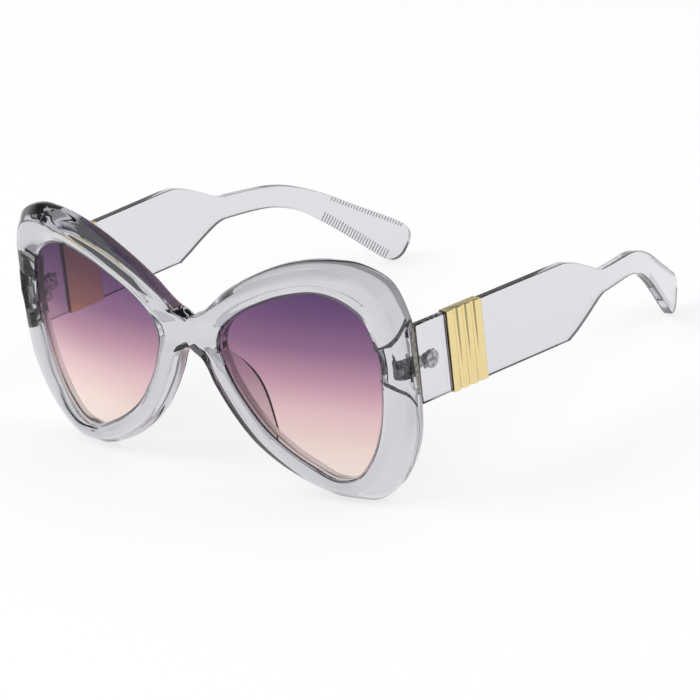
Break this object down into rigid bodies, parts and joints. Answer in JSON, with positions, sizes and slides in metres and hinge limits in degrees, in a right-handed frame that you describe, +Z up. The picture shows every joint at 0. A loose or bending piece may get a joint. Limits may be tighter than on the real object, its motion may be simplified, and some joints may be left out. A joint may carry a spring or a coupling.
{
  "type": "butterfly sunglasses",
  "caption": "Oversized butterfly sunglasses with a clear moulded front, gradient lenses, wide flat temples, gold bands and folding hinges.",
  "frame": {"origin": "on the floor, under the middle of the whole part with the temples open", "axes": "+X to the wearer's left, +Y back along the temples, +Z up; the front faces -Y"},
  "size_m": [0.1494, 0.1664, 0.0742],
  "materials": {
    "clear_plastic": "polished transparent pale grey",
    "pad_plastic": "polished transparent",
    "tinted_lens": "gradient tint from purple at the top to pale peach at the bottom",
    "hinge_metal": "plated",
    "screw_steel": "bright",
    "gold_trim": "polished pale gold"
  },
  "bodies": {
    "front": {"front_frame": "clear_plastic", "lens_left": "tinted_lens", "lens_right": "tinted_lens", "nose_pad_left": "pad_plastic", "nose_pad_right": "pad_plastic", "front_hinge_left": "hinge_metal", "front_hinge_right": "hinge_metal", "hinge_screw_left": "screw_steel", "hinge_screw_right": "screw_steel"},
    "temple_left": {"temple_hinge_left": "hinge_metal", "temple_front_left": "clear_plastic", "trim_band_left": "gold_trim", "temple_rear_left": "clear_plastic"},
    "temple_right": {"temple_hinge_right": "hinge_metal", "temple_front_right": "clear_plastic", "trim_band_right": "gold_trim", "temple_rear_right": "clear_plastic"}
  },
  "joints": [
    {"name": "temple_left_fold", "type": "hinge", "parent": "front", "child": "temple_left", "pos_m": [0.0678, -0.0644, 0.0423], "axis": [0, 0, 1], "range_deg": [0, 84.5]},
    {"name": "temple_right_fold", "type": "hinge", "parent": "front", "child": "temple_right", "pos_m": [-0.0678, -0.0644, 0.0423], "axis": [0, 0, -1], "range_deg": [0, 72.5]}
  ]
}
